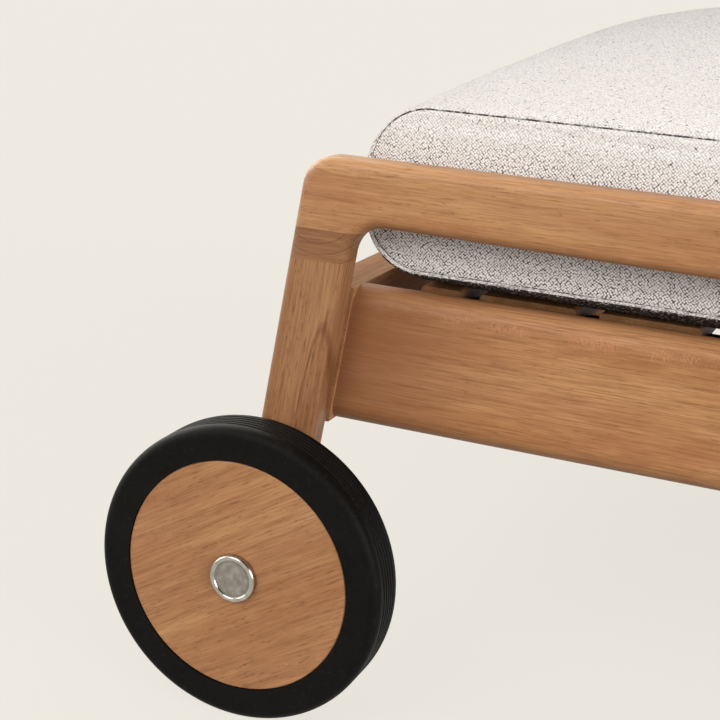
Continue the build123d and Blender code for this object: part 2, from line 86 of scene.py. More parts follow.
# Streaks of the teak's grain: how many in a metre along it and across it, then their detail and roughness
streaks = {
    "wander": (3.0, 11.0, 3.0, 0.5),
    "fibre": (24.0, 620.0, 4.0, 0.68),
    "broad": (5.0, 46.0, 3.0, 0.6),
    "cloud": (16.0, 60.0, 2.0, 0.5),
    "sheen": (55.0, 120.0, 2.0, 0.5),
    "short": (170.0, 1250.0, 2.0, 0.6),
    "long": (75.0, 900.0, 1.0, 0.5),
    "rosy": (4.0, 24.0, 2.0, 0.5),
    "fine": (50.0, 1500.0, 2.0, 0.5),
}
# How far one seed, and one slat, moves a board within the wood that it is cut from, in metres
seed_step = (1.37, 0.11, 0.23)
slat_step = (3.7, 0.06)
# How far the growth rings wander sideways and up, in metres
ring_wander = (0.030, 0.018)
# Depth of the teak's pores and fibres, in metres, and roughness of its oil
teak_relief = 0.00022
oil_roughness = 0.24
# Softness of the edges of the band of ray flecks, in metres
fleck_edge = 0.003
# Fabric: how level a face is where the weave lies flat, the weave's drift in metres and drifts in a metre
top_facing = 0.62
weave_drift = 0.004
weave_drifts = 70.0
# Fabric: heights between which its hollows darken, as painted shade under the arm, and between which the dark speckle
# painted as shade under the lower seam fades, in metres
shade_heights = (0.388, 0.345)
seam_shade_heights = (0.2888, 0.2878)
# Fabric: half the width of the middle of the cushion's top that is painted a shade greyer, in metres, and depth of
# the weave
shaded_middle_half = 0.30
weave_relief = 0.0006


# Short calls for building node materials
class Tree:
    """A material's node tree, with one call for each kind of node that is used here."""

    def __init__(self, name):
        self.material = bpy.data.materials.new(name)
        self.material.use_nodes = True
        self.tree = self.material.node_tree
        self.shader = self.tree.nodes["Principled BSDF"]

    def add(self, kind, **settings):
        node = self.tree.nodes.new(kind)
        for key, value in settings.items():
            setattr(node, key, value)
        return node

    def feed(self, socket, value):
        """Link a socket, or set its number, vector or colour."""
        if isinstance(value, bpy.types.NodeSocket):
            self.tree.links.new(value, socket)
        else:
            socket.default_value = value

    def math(self, operation, *values):
        node = self.add("ShaderNodeMath", operation=operation)
        for socket, value in zip(node.inputs, values):
            self.feed(socket, value)
        return node.outputs[0]

    def vector(self, operation, *values):
        node = self.add("ShaderNodeVectorMath", operation=operation)
        for socket, value in zip(node.inputs, values):
            self.feed(socket, value)
        return node.outputs["Value" if operation in ("LENGTH", "DOT_PRODUCT") else "Vector"]

    def split(self, vector):
        node = self.add("ShaderNodeSeparateXYZ")
        self.feed(node.inputs[0], vector)
        return node.outputs

    def join(self, x, y, z):
        node = self.add("ShaderNodeCombineXYZ")
        for socket, value in zip(node.inputs, (x, y, z)):
            self.feed(socket, value)
        return node.outputs[0]

    def ramp(self, value, low, high):
        """Smooth step of a value, from 0 at low to 1 at high."""
        node = self.add("ShaderNodeMapRange", interpolation_type="SMOOTHSTEP")
        self.feed(node.inputs["Value"], value)
        self.feed(node.inputs["From Min"], low)
        self.feed(node.inputs["From Max"], high)
        return node.outputs["Result"]

    def noise(self, vector, scale=1.0, detail=2.0, roughness=0.5):
        node = self.add("ShaderNodeTexNoise")
        self.feed(node.inputs["Vector"], vector)
        self.feed(node.inputs["Scale"], scale)
        self.feed(node.inputs["Detail"], detail)
        self.feed(node.inputs["Roughness"], roughness)
        return node.outputs["Fac"]

    def cells(self, vector, scale, feature="F1", randomness=1.0):
        node = self.add("ShaderNodeTexVoronoi", feature=feature)
        self.feed(node.inputs["Vector"], vector)
        self.feed(node.inputs["Scale"], scale)
        self.feed(node.inputs["Randomness"], randomness)
        return node

    def mix(self, share, first, second):
        node = self.add("ShaderNodeMix", data_type="RGBA")
        self.feed(node.inputs[0], share)
        self.feed(node.inputs[6], first)
        self.feed(node.inputs[7], second)
        return node.outputs[2]

    def coordinates(self):
        """Place on the piece, in metres, in the frame that the piece was modelled in."""
        return self.add("ShaderNodeTexCoord").outputs["Object"]

    def bump(self, height, distance, strength):
        node = self.add("ShaderNodeBump")
        self.feed(node.inputs["Height"], height)
        self.feed(node.inputs["Distance"], distance)
        self.feed(node.inputs["Strength"], strength)
        return node.outputs[0]

    def surface(self, **values):
        """Set or link the shader's own sockets."""
        for key, value in values.items():
            self.feed(self.shader.inputs[key.replace("_", " ")], value)


def colour(red, green, blue):
    """A colour given as a screen shows it, from 0 to 255, turned into the light that it stands for."""
    def light(level):
        share = level / 255
        return share / 12.92 if share <= 0.04045 else ((share + 0.055) / 1.055) ** 2.4
    return (light(red), light(green), light(blue), 1.0)


# Teak
def teak(name, turn=(0, 0, 0), seed=0.0, shade=1.0, pith=(0.05, 0.09), ring_width=0.009, ring_line=0.10,
         pores=0.45, fibres=0.34, board_pitch=0.0, board_start=0.0, figures=(), fleck_band=None, shaded_ends=None,
         specular=0.26, coat=0.08):
    """Oiled teak whose grain runs along X once the piece is turned back by the given angles."""
    t = Tree(name)
    light, middle, deep, line, rose = (
        tuple(shade * level for level in colour(*tone)[:3]) + (1.0,) for tone in teak_tones)
    place = t.coordinates()
    rotate = t.add("ShaderNodeVectorRotate", rotation_type="EULER_XYZ")
    t.feed(rotate.inputs["Vector"], place)
    rotate.inputs["Rotation"].default_value = turn
    along, side, up = t.split(t.vector("ADD", rotate.outputs[0], tuple(seed * step for step in seed_step)))[:3]
    chance = 0.5
    if board_pitch:
        index = t.math("FLOOR", t.math("DIVIDE", t.math("SUBTRACT", t.split(place)[0], board_start), board_pitch))
        pick = t.add("ShaderNodeTexWhiteNoise", noise_dimensions="1D")
        t.feed(pick.inputs["W"], index)
        chance = pick.outputs["Value"]
        along = t.math("MULTIPLY_ADD", chance, slat_step[0], along)
        side = t.math("MULTIPLY_ADD", chance, slat_step[1], side)

    def streak(kind):
        """Noise drawn out along the grain."""
        along_scale, across_scale, detail, roughness = streaks[kind]
        spread = t.join(*(t.math("MULTIPLY", part, scale) for part, scale in
                          ((along, along_scale), (side, across_scale), (up, across_scale))))
        return t.noise(spread, 1.0, detail, roughness)

    wander = t.math("SUBTRACT", streak("wander"), 0.5)
    ring_side = t.math("MULTIPLY_ADD", wander, ring_wander[0], side)
    ring_up = t.math("MULTIPLY_ADD", wander, ring_wander[1], up)
    radius = t.vector("LENGTH", t.join(0.0, t.math("ADD", ring_side, pith[0]), t.math("ADD", ring_up, pith[1])))
    ring = t.math("FRACT", t.math("DIVIDE", radius, ring_width))
    late = t.math("MULTIPLY", t.ramp(ring, 0.30, 0.96), t.ramp(ring, 1.0, 0.97))
    fibre = streak("fibre")
    broad = streak("broad")
    cloud = streak("cloud")
    sheen = streak("sheen")
    short = t.ramp(streak("short"), 0.58, 0.70)
    long = t.ramp(streak("long"), 0.62, 0.74)
    pore = t.math("MAXIMUM", t.math("MULTIPLY", short, t.ramp(cloud, 0.36, 0.62)),
                  t.math("MULTIPLY", long, t.ramp(cloud, 0.62, 0.40)))
    rosy = t.ramp(streak("rosy"), 0.42, 0.66)
    fine = t.ramp(streak("fine"), 0.38, 0.66)
    base = t.mix(t.ramp(broad, 0.32, 0.66), light, middle)
    base = t.mix(t.math("MULTIPLY", t.ramp(sheen, 0.42, 0.75), 0.34), base, light)
    base = t.mix(t.math("MULTIPLY", rosy, 0.32), base, rose)
    darker = t.math("MULTIPLY", late, ring_line)
    darker = t.math("MULTIPLY_ADD", t.ramp(fibre, 0.40, 0.72), fibres, darker)
    darker = t.math("MULTIPLY_ADD", fine, 0.75 * fibres, darker)
    darker = t.math("MULTIPLY_ADD", t.math("SUBTRACT", chance, 0.5), 0.30, darker)
    for figure in figures:
        offset = t.vector("SUBTRACT", rotate.outputs[0], figure["centre"])
        offset = t.vector("ADD", offset, t.vector("MULTIPLY", t.join(wander, wander, wander), figure["wander"]))
        shell = t.vector("LENGTH", t.vector("DIVIDE", offset, figure["radii"]))
        turnings = t.math("DIVIDE", t.math("SUBTRACT", shell, 1.0), figure["gap"])
        within_lines = t.math("LESS_THAN", shell, 1.0 + figure["gap"] * (figure["lines"] - 0.5))
        edge = t.math("PINGPONG", turnings, 0.5)
        edge = t.math("MULTIPLY", t.ramp(edge, figure["width"], 0.0), within_lines)
        edge = t.math("MULTIPLY", edge, t.math("GREATER_THAN", shell, 1.0 - 0.5 * figure["gap"]))
        inside = t.ramp(shell, 1.0, 0.97)
        base = t.mix(t.math("MULTIPLY", inside, figure["pale"]), base, light)
        darker = t.math("MULTIPLY_ADD", edge, t.math("MULTIPLY_ADD", fibre, 0.8, figure["line"] - 0.4), darker)
        darker = t.math("MULTIPLY_ADD", inside, figure["dark"], darker)
    base = t.mix(darker, base, deep)
    base = t.mix(t.math("MULTIPLY", pore, pores), base, line)
    rough = t.math("MULTIPLY_ADD", fibre, 0.16, 0.38)
    height = t.math("MULTIPLY_ADD", pore, -0.8, t.math("MULTIPLY", fibre, 0.5))
    if fleck_band:
        low, high = fleck_band
        wavy = t.noise(t.vector("MULTIPLY", place, (140, 0, 60)), 1.0, 2.0)
        level = t.math("MULTIPLY_ADD", wavy, 0.010, t.math("SUBTRACT", t.split(place)[2], 0.005))
        band = t.math("MULTIPLY", t.ramp(level, low, low + fleck_edge), t.ramp(level, high, high - fleck_edge))
        ray = t.cells(t.vector("MULTIPLY", place, (520, 0, 300)), 1.0, "DISTANCE_TO_EDGE").outputs["Distance"]
        ray = t.math("MULTIPLY", t.ramp(ray, 0.12, 0.02), band)
        ray = t.math("MULTIPLY", ray, t.ramp(t.noise(t.vector("MULTIPLY", place, (45, 0, 60)), 1.0, 1.0), 0.42, 0.56))
        base = t.mix(t.math("MULTIPLY", ray, 0.8), base, colour(*teak_ray))
        base = t.mix(t.math("MULTIPLY", band, 0.20), base, deep)
    # Painted shade: both ends of a side rail are darkened towards the deep tone, for the soft shadow of the legs
    if shaded_ends:
        low, high = shaded_ends
        x = t.split(place)[0]
        end_shade = t.math("MAXIMUM", t.ramp(x, low + end_shade_reach, low), t.ramp(x, high - end_shade_reach, high))
        end_shade = t.math("MULTIPLY", end_shade, t.math("MULTIPLY_ADD", broad, 0.5, 0.5))
        base = t.mix(end_shade, base, deep)
    t.surface(Base_Color=base, Roughness=rough, Normal=t.bump(height, teak_relief, 0.5))
    t.shader.inputs["Specular IOR Level"].default_value = specular
    t.shader.inputs["Coat Weight"].default_value = coat
    t.shader.inputs["Coat Roughness"].default_value = oil_roughness
    return t.material


def rubber():
    """Black tyre rubber with a faint bloom and fine moulding marks round the axle."""
    t = Tree("tyre_rubber")
    place = t.coordinates()
    cloud = t.noise(place, 34.0, 3.0)
    grit = t.noise(place, 900.0, 2.0)
    dust = t.ramp(t.noise(place, 240.0, 4.0, 0.7), 0.52, 0.78)
    base = t.mix(t.ramp(cloud, 0.3, 0.75), colour(9, 8, 7), colour(16, 14, 13))
    base = t.mix(t.math("MULTIPLY", dust, 0.12), base, colour(80, 74, 66))
    rough = t.math("MULTIPLY_ADD", cloud, 0.2, 0.42)
    height = t.math("ADD", t.math("MULTIPLY", grit, 0.5), cloud)
    t.surface(Base_Color=base, Roughness=rough, Normal=t.bump(height, 0.0002, 0.35))
    t.shader.inputs["Specular IOR Level"].default_value = 0.085
    return t.material


def steel(cap_centre, dish_radius):
    """Stainless steel: a polished rim round a duller brushed dish, with fine turning marks and small stains."""
    t = Tree("steel")
    place = t.coordinates()
    offset = t.vector("MULTIPLY", t.vector("SUBTRACT", place, tuple(cap_centre)), (1, 0, 1))
    radius = t.vector("LENGTH", offset)
    dish = t.ramp(radius, dish_radius, 0.94 * dish_radius)
    cloud = t.noise(place, 190.0, 4.0, 0.6)
    turning = t.noise(t.join(t.math("MULTIPLY", radius, 2400.0), 0.0, 0.0), 1.0, 2.0)
    base = t.mix(t.ramp(cloud, 0.35, 0.7), colour(188, 184, 178), colour(164, 158, 150))
    base = t.mix(t.math("MULTIPLY", dish, t.math("MULTIPLY_ADD", cloud, 0.7, 0.10)), base, colour(112, 105, 96))
    edge = t.math("MULTIPLY", t.ramp(radius, 1.10 * dish_radius, 1.02 * dish_radius),
                  t.ramp(radius, 0.92 * dish_radius, dish_radius))
    base = t.mix(t.math("MULTIPLY", edge, 0.55), base, colour(84, 78, 72))
    rough = t.math("MULTIPLY_ADD", dish, 0.24, t.math("MULTIPLY_ADD", cloud, 0.10, 0.10))
    t.surface(Base_Color=base, Roughness=rough, Normal=t.bump(t.math("MULTIPLY", turning, dish), 0.00005, 0.6))
    t.shader.inputs["Metallic"].default_value = 1.0
    return t.material


def nylon():
    """Dark grey moulded nylon with a fine spark texture."""
    t = Tree("nylon")
    place = t.coordinates()
    grit = t.noise(place, 1400.0, 3.0)
    cloud = t.noise(place, 60.0, 2.0)
    base = t.mix(cloud, colour(44, 43, 42), colour(60, 58, 56))
    t.surface(Base_Color=base, Roughness=t.math("MULTIPLY_ADD", grit, 0.25, 0.4), Normal=t.bump(grit, 0.0001, 0.5))
    return t.material


def fabric():
    """Cream tweed of small round knots with grey hollows between them."""
    t = Tree("cushion_fabric")
    place = t.coordinates()
    x, y, z = t.split(place)[:3]
    normal = t.add("ShaderNodeNewGeometry").outputs["Normal"]
    turned = t.split(t.vector("ABSOLUTE", normal))
    on_top = t.math("GREATER_THAN", turned[2], top_facing)
    on_end = t.math("MULTIPLY", t.math("GREATER_THAN", turned[0], turned[1]), t.math("SUBTRACT", 1.0, on_top))
    first = t.math("ADD", t.math("MULTIPLY", on_end, y), t.math("MULTIPLY", t.math("SUBTRACT", 1.0, on_end), x))
    second = t.math("ADD", t.math("MULTIPLY", on_top, y), t.math("MULTIPLY", t.math("SUBTRACT", 1.0, on_top), z))
    wave = t.add("ShaderNodeTexNoise")
    t.feed(wave.inputs["Vector"], place)
    wave.inputs["Scale"].default_value = weave_drifts
    shift_one, shift_two, patch = t.split(wave.outputs["Color"])[:3]
    first = t.math("MULTIPLY_ADD", shift_one, weave_drift, first)
    second = t.math("MULTIPLY_ADD", shift_two, weave_drift, second)
    lattice = t.join(t.math("MULTIPLY", t.math("ADD", first, second), knot_rows),
                     t.math("MULTIPLY", t.math("SUBTRACT", first, second), knot_rows), 0.0)
    knots = t.cells(lattice, 1.0, randomness=0.42)
    knots.voronoi_dimensions = "2D"
    distance = knots.outputs["Distance"]
    hollow = t.ramp(distance, 0.30, 0.60)
    chance = t.noise(place, 430.0, 2.0)
    # Painted light and shade: the hollows fade on faces turned up, as if washed out by light from above, and darken
    # lower down the sides, as painted shade under the arm
    upward = t.ramp(t.split(normal)[2], -0.05, 0.75)
    low = t.ramp(z, *shade_heights)
    side_depth = t.math("MULTIPLY_ADD", low, 0.72, 0.28)
    # Painted shade: the middle of the top is painted greyer, with deeper hollows and more dark flecks
    shaded_middle = t.math("MULTIPLY", upward, t.ramp(t.math("ABSOLUTE", y), shaded_middle_half, 0.0))
    top_depth = t.math("MULTIPLY_ADD", shaded_middle, 0.40, 0.34)
    depth = t.math("ADD", t.math("MULTIPLY", upward, top_depth),
                   t.math("MULTIPLY", t.math("SUBTRACT", 1.0, upward), side_depth))
    depth = t.math("MULTIPLY", depth, t.math("MULTIPLY_ADD", t.ramp(chance, 0.36, 0.60), 0.50, 0.50))
    depth = t.math("MULTIPLY", depth, t.math("MULTIPLY_ADD", patch, 0.6, 0.70))
    fleck = t.ramp(t.noise(place, 310.0, 1.0), t.math("MULTIPLY_ADD", shaded_middle, -0.06, 0.62), 0.72)
    base = t.mix(t.ramp(t.noise(place, 700.0, 3.0), 0.35, 0.7), colour(250, 247, 245), colour(234, 228, 223))
    base = t.mix(t.math("MULTIPLY", upward, 0.22), base, colour(214, 208, 204))
    base = t.mix(t.math("MULTIPLY", shaded_middle, 0.16), base, colour(186, 183, 181))
    base = t.mix(t.math("MULTIPLY", hollow, depth), base, colour(61, 58, 56))
    base = t.mix(t.math("MULTIPLY", hollow, t.math("MULTIPLY", fleck, 0.8)), base, colour(50, 46, 44))
    # Painted shade: dark speckle on the fabric below the lower seam
    rim = t.math("MULTIPLY", t.ramp(z, *seam_shade_heights), t.ramp(t.noise(place, 640.0, 1.0), 0.47, 0.58))
    base = t.mix(t.math("MULTIPLY", rim, 0.60), base, colour(40, 36, 34))
    height = t.math("MULTIPLY_ADD", t.noise(place, 1500.0, 2.0), 0.3,
                    t.math("MULTIPLY", t.math("MULTIPLY", distance, distance), -1.3))
    t.surface(Base_Color=base, Normal=t.bump(height, weave_relief, 0.9))
    for socket, value in (("Roughness", 0.95), ("Specular IOR Level", 0.10), ("Sheen Weight", 0.15),
                          ("Sheen Roughness", 0.5)):
        t.shader.inputs[socket].default_value = value
    return t.material


def shadow_cloth():
    """Charcoal cloth under the cushion, painted shade for the deep shadow there: a close plain weave with a few pale
    fibres.
    """
    t = Tree("shadow_cloth")
    place = t.coordinates()
    x, y = t.split(place)[:2]
    warp = t.math("PINGPONG", t.math("MULTIPLY", x, shadow_cloth_rows), 0.5)
    weft = t.math("PINGPONG", t.math("MULTIPLY", y, shadow_cloth_rows), 0.5)
    weave = t.math("MULTIPLY", warp, weft)
    lint = t.ramp(t.noise(place, 560.0, 1.0), 0.56, 0.66)
    base = t.mix(t.ramp(t.noise(place, 90.0, 3.0), 0.3, 0.7), colour(46, 42, 39), colour(60, 55, 51))
    base = t.mix(t.math("MULTIPLY", lint, 0.7), base, colour(190, 184, 178))
    t.surface(Base_Color=base, Normal=t.bump(weave, 0.0008, 0.7))
    for socket, value in (("Roughness", 0.95), ("Specular IOR Level", 0.10)):
        t.shader.inputs[socket].default_value = value
    return t.material


def thread():
    """Dark twisted sewing thread."""
    t = Tree("seam_thread")
    place = t.coordinates()
    twist = t.noise(place, 420.0, 3.0)
    base = t.mix(t.ramp(twist, 0.42, 0.62), colour(58, 52, 49), colour(188, 180, 172))
    t.surface(Base_Color=base, Normal=t.bump(twist, 0.0003, 0.6))
    t.shader.inputs["Roughness"].default_value = 0.9
    return t.material


def set_material(names, material):
    """Give the named CAD pieces one material."""
    for name in names:
        node = frame["nodes"][name]
        node.data.materials.clear()
        node.data.materials.append(material)


def both(name):
    """The near and the far copy of a piece."""
    return [name + "_near", name + "_far"]


# Lean of the legs in degrees, and the turns that lay the grain of cross pieces and wheel discs along X
leg_lean = 8
grain_across = (0, 0, math.radians(-90))
disc_turn = (0, math.radians(31), 0)
# Distance from one slat to the next, and half the gap between two, in metres
slat_pitch = 0.072
half_slat_gap = 0.006
# How far the band of ray flecks lies below the top of a side rail, at its lower and upper edge, in metres
fleck_depths = (0.0155, 0.0070)
# Distance of the outer faces of the legs from the middle of the lounger, in metres
frame_half = 0.36
# Shine of the boards away from the oiled outer faces
dull = dict(specular=0.04, coat=0.0)


def arm_corner_figure(sign):
    """Pale figure on the rounded corner of an arm."""
    return dict(centre=(-0.876, sign * 0.352, 0.3562), radii=(0.036, 0.022, 0.0120), wander=(0, 0, 0.004),
                gap=0.5, lines=1, width=0.20, line=0.12, pale=1.0, dark=0.0)


def knee_figure(sign, knee_box):
    """Rings that sweep through a knee block."""
    middle = (knee_box[0] + knee_box[1]) / 2
    return dict(centre=(middle[0] - 0.004, sign * frame_half, knee_box[1][2] + 0.007), radii=(0.020, 0.05, 0.0155),
                wander=(0.01, 0, 0.006), gap=0.42, lines=3, width=0.06, line=0.75, pale=0.0, dark=0.05)


def leg_figure(sign):
    """Arched ring on the face of a head leg, placed along the turned grain."""
    return dict(centre=(0.075, sign * frame_half, 0.9155), radii=(0.052, 0.03, 0.0068), wander=(0, 0, 0.004),
                gap=0.9, lines=1, width=0.17, line=0.55, pale=0.0, dark=0.12)


def dress_side(offset, side):
    """Give the pieces of the near or far side frame their materials."""
    sign = (-1, 1)[offset]
    set_material(["arm" + side], teak(
        "teak_arm" + side, seed=1.0 + offset, shade=0.94, pith=(0.20, -0.29), pores=0.42, fibres=0.36,
        figures=[arm_corner_figure(sign)], coat=0.11))
    rail_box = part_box("side_rail" + side)
    band = tuple(rail_box[1][2] - depth for depth in fleck_depths)
    set_material(["side_rail" + side], teak(
        "teak_rail" + side, seed=3.3 + offset, shade=0.965, pith=(0.35, -0.10), pores=0.30, fibres=0.46,
        fleck_band=band, shaded_ends=(rail_box[0][0], rail_box[1][0]), specular=0.20, coat=0.02))
    rake = math.radians(leg_lean)
    for end, lean in (("head", rake), ("foot", -rake)):
        upright = (0, math.radians(90) - lean, 0)
        knee_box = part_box("knee_block_" + end + side)
        set_material(["leg_" + end + side], teak(
            "teak_leg_" + end + side, upright, 5.1 + offset + lean, 0.72, fibres=0.44, pores=0.6, pith=(0.37, 0.9),
            figures=[leg_figure(sign)] if end == "head" else ()))
        set_material(["knee_block_" + end + side], teak(
            "teak_knee_" + end + side, (0, 0, 0), 7.7 + offset + lean, 0.60, pith=(0.33, -0.25),
            figures=[knee_figure(sign, knee_box)]))
    set_material(["wheel_disc" + side], teak(
        "teak_disc" + side, disc_turn, 9.2 + offset, 0.85, pores=0.52, fibres=0.37, ring_line=0.16))
    set_material(["backrest_stile" + side, "prop_arm" + side],
                 teak("teak_stile" + side, seed=11.9 + offset, shade=0.86, **dull))
    set_material(["rack" + side, "ledger" + side, "hinge_block" + side],
                 teak("teak_rack" + side, seed=14.2 + offset, shade=0.86, **dull))


def dress_frame():
    """Give every CAD piece its material, with the grain along its own board."""
    for offset, side in enumerate(("_near", "_far")):
        dress_side(offset, side)
    for number, name in enumerate(("head_cross_rail", "backrest_head_rail", "foot_cross_rail", "hinge_cross_rail",
                                   "seat_cross_rail", "prop_cross_rail", "prop_foot_bar")):
        set_material([name], teak("teak_" + name, grain_across, 17.3 + number, 0.8, **dull))
    for number, name in enumerate(("seat_slats", "backrest_slats")):
        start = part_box(name)[0][0] - half_slat_gap
        set_material([name], teak("teak_" + name, grain_across, 25.1 + number, 0.8, board_pitch=slat_pitch,
                                  board_start=start, **dull))
    set_material(["knee_tenons", "leg_tenons", "rail_tenons"], teak("teak_tenons", seed=31.0))
    set_material(both("tyre"), rubber())
    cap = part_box("wheel_cap_near")
    metal = steel((cap[0] + cap[1]) / 2, cap_dish_share * (cap[1][0] - cap[0][0]) / 2)
    set_material(both("wheel_cap") + both("axle") + [
        "axle_washers", "axle_nuts", "hinge_pins", "hinge_washers", "prop_pins", "prop_washers"], metal)
    set_material(both("wheel_bush") + ["foot_glides"], nylon())


# Cushion, in metres unless said otherwise. Heights of the lower seam and of the side panel, and the panel's corners
seam_rise = 0.0145
panel_height = 0.0962
seam_corner = 0.036
# Its ends, its waist and the swelling of its side panels
end_inset = 0.0075
end_bulge = 0.0065
end_round = 0.015
waist = 0.003
panel_swell = 0.002
swell_fade = 0.05
# Groove of a seam, its thread and the short hairs across it
seam_groove = 0.0011
seam_width = 0.0011
thread_radius = 0.00055
thread_sides = 6
hair_count = 2200
hair_length = 0.0022
hair_radius = 0.00014
hair_seed = 7
# Shares of a hair's direction: outwards at the seam, away from the cushion, and at random
hair_outward = 0.7
hair_away = 0.6
hair_lean = 0.75
# Soft roll beside the lower seam, and the rounding below it, which reaches further at the ends
roll_radius = 0.0019
roll_width = 0.0052
roll_bulge = 1.3
lower_round = 0.030
lower_round_ends = 0.028
lower_fade = 0.12
lower_power = 1.8
# Half the length that bends with the backrest, and the shallow arch under it
fold_half = 0.17
fold_arch = 0.016
arch_margin = 0.009
arch_fade = 0.018
arch_blend = 0.02
# Crown: how soon it rises from the ends, and its section from side to side
crown_reach = 0.094
crown_flatness = 1.4
crown_power = 0.67
# Spacing of the mesh, which is closest beside a seam
column_step = 0.0065
row_step = 0.007
first_step = 0.0008
step_growth = 1.3
arc_columns = 14
end_columns = 4
panel_insets = (0.0007, 0.0015, 0.0025, 0.0037, 0.0050, 0.0065, 0.0085)
# Where the charcoal cloth painted as shade under the cushion starts: height over the lower seam line, and distance
# from the seam
shadow_cloth_rise = 0.009
shadow_cloth_margin = 0.0015


def ease(distance, reach):
    """Quarter round from 0 at the seam to 1 at the given reach."""
    return np.sqrt(1 - (1 - np.clip(distance / reach, 0, 1)) ** 2)


def rounded_ring(x_low, x_high, z_low, z_high, radius, long_columns):
    """Points round a rectangle with round corners: along the top, then down the foot end and back."""
    def run(start, end, count):
        share = np.arange(count) / count
        return np.outer(1 - share, start) + np.outer(share, end)

    def arc(centre, first_angle):
        angle = np.radians(first_angle - 90 * np.arange(arc_columns) / arc_columns)
        return np.stack([centre[0] + radius * np.cos(angle), centre[1] + radius * np.sin(angle)], axis=1)
    left, right, low, high = x_low + radius, x_high - radius, z_low + radius, z_high - radius
    return np.concatenate([
        run((left, z_high), (right, z_high), long_columns),
        arc((right, high), 90),
        run((x_high, high), (x_high, low), end_columns),
        arc((right, low), 0),
        run((right, z_low), (left, z_low), long_columns),
        arc((left, low), -90),
        run((x_low, low), (x_low, high), end_columns),
        arc((left, high), -180),
    ])


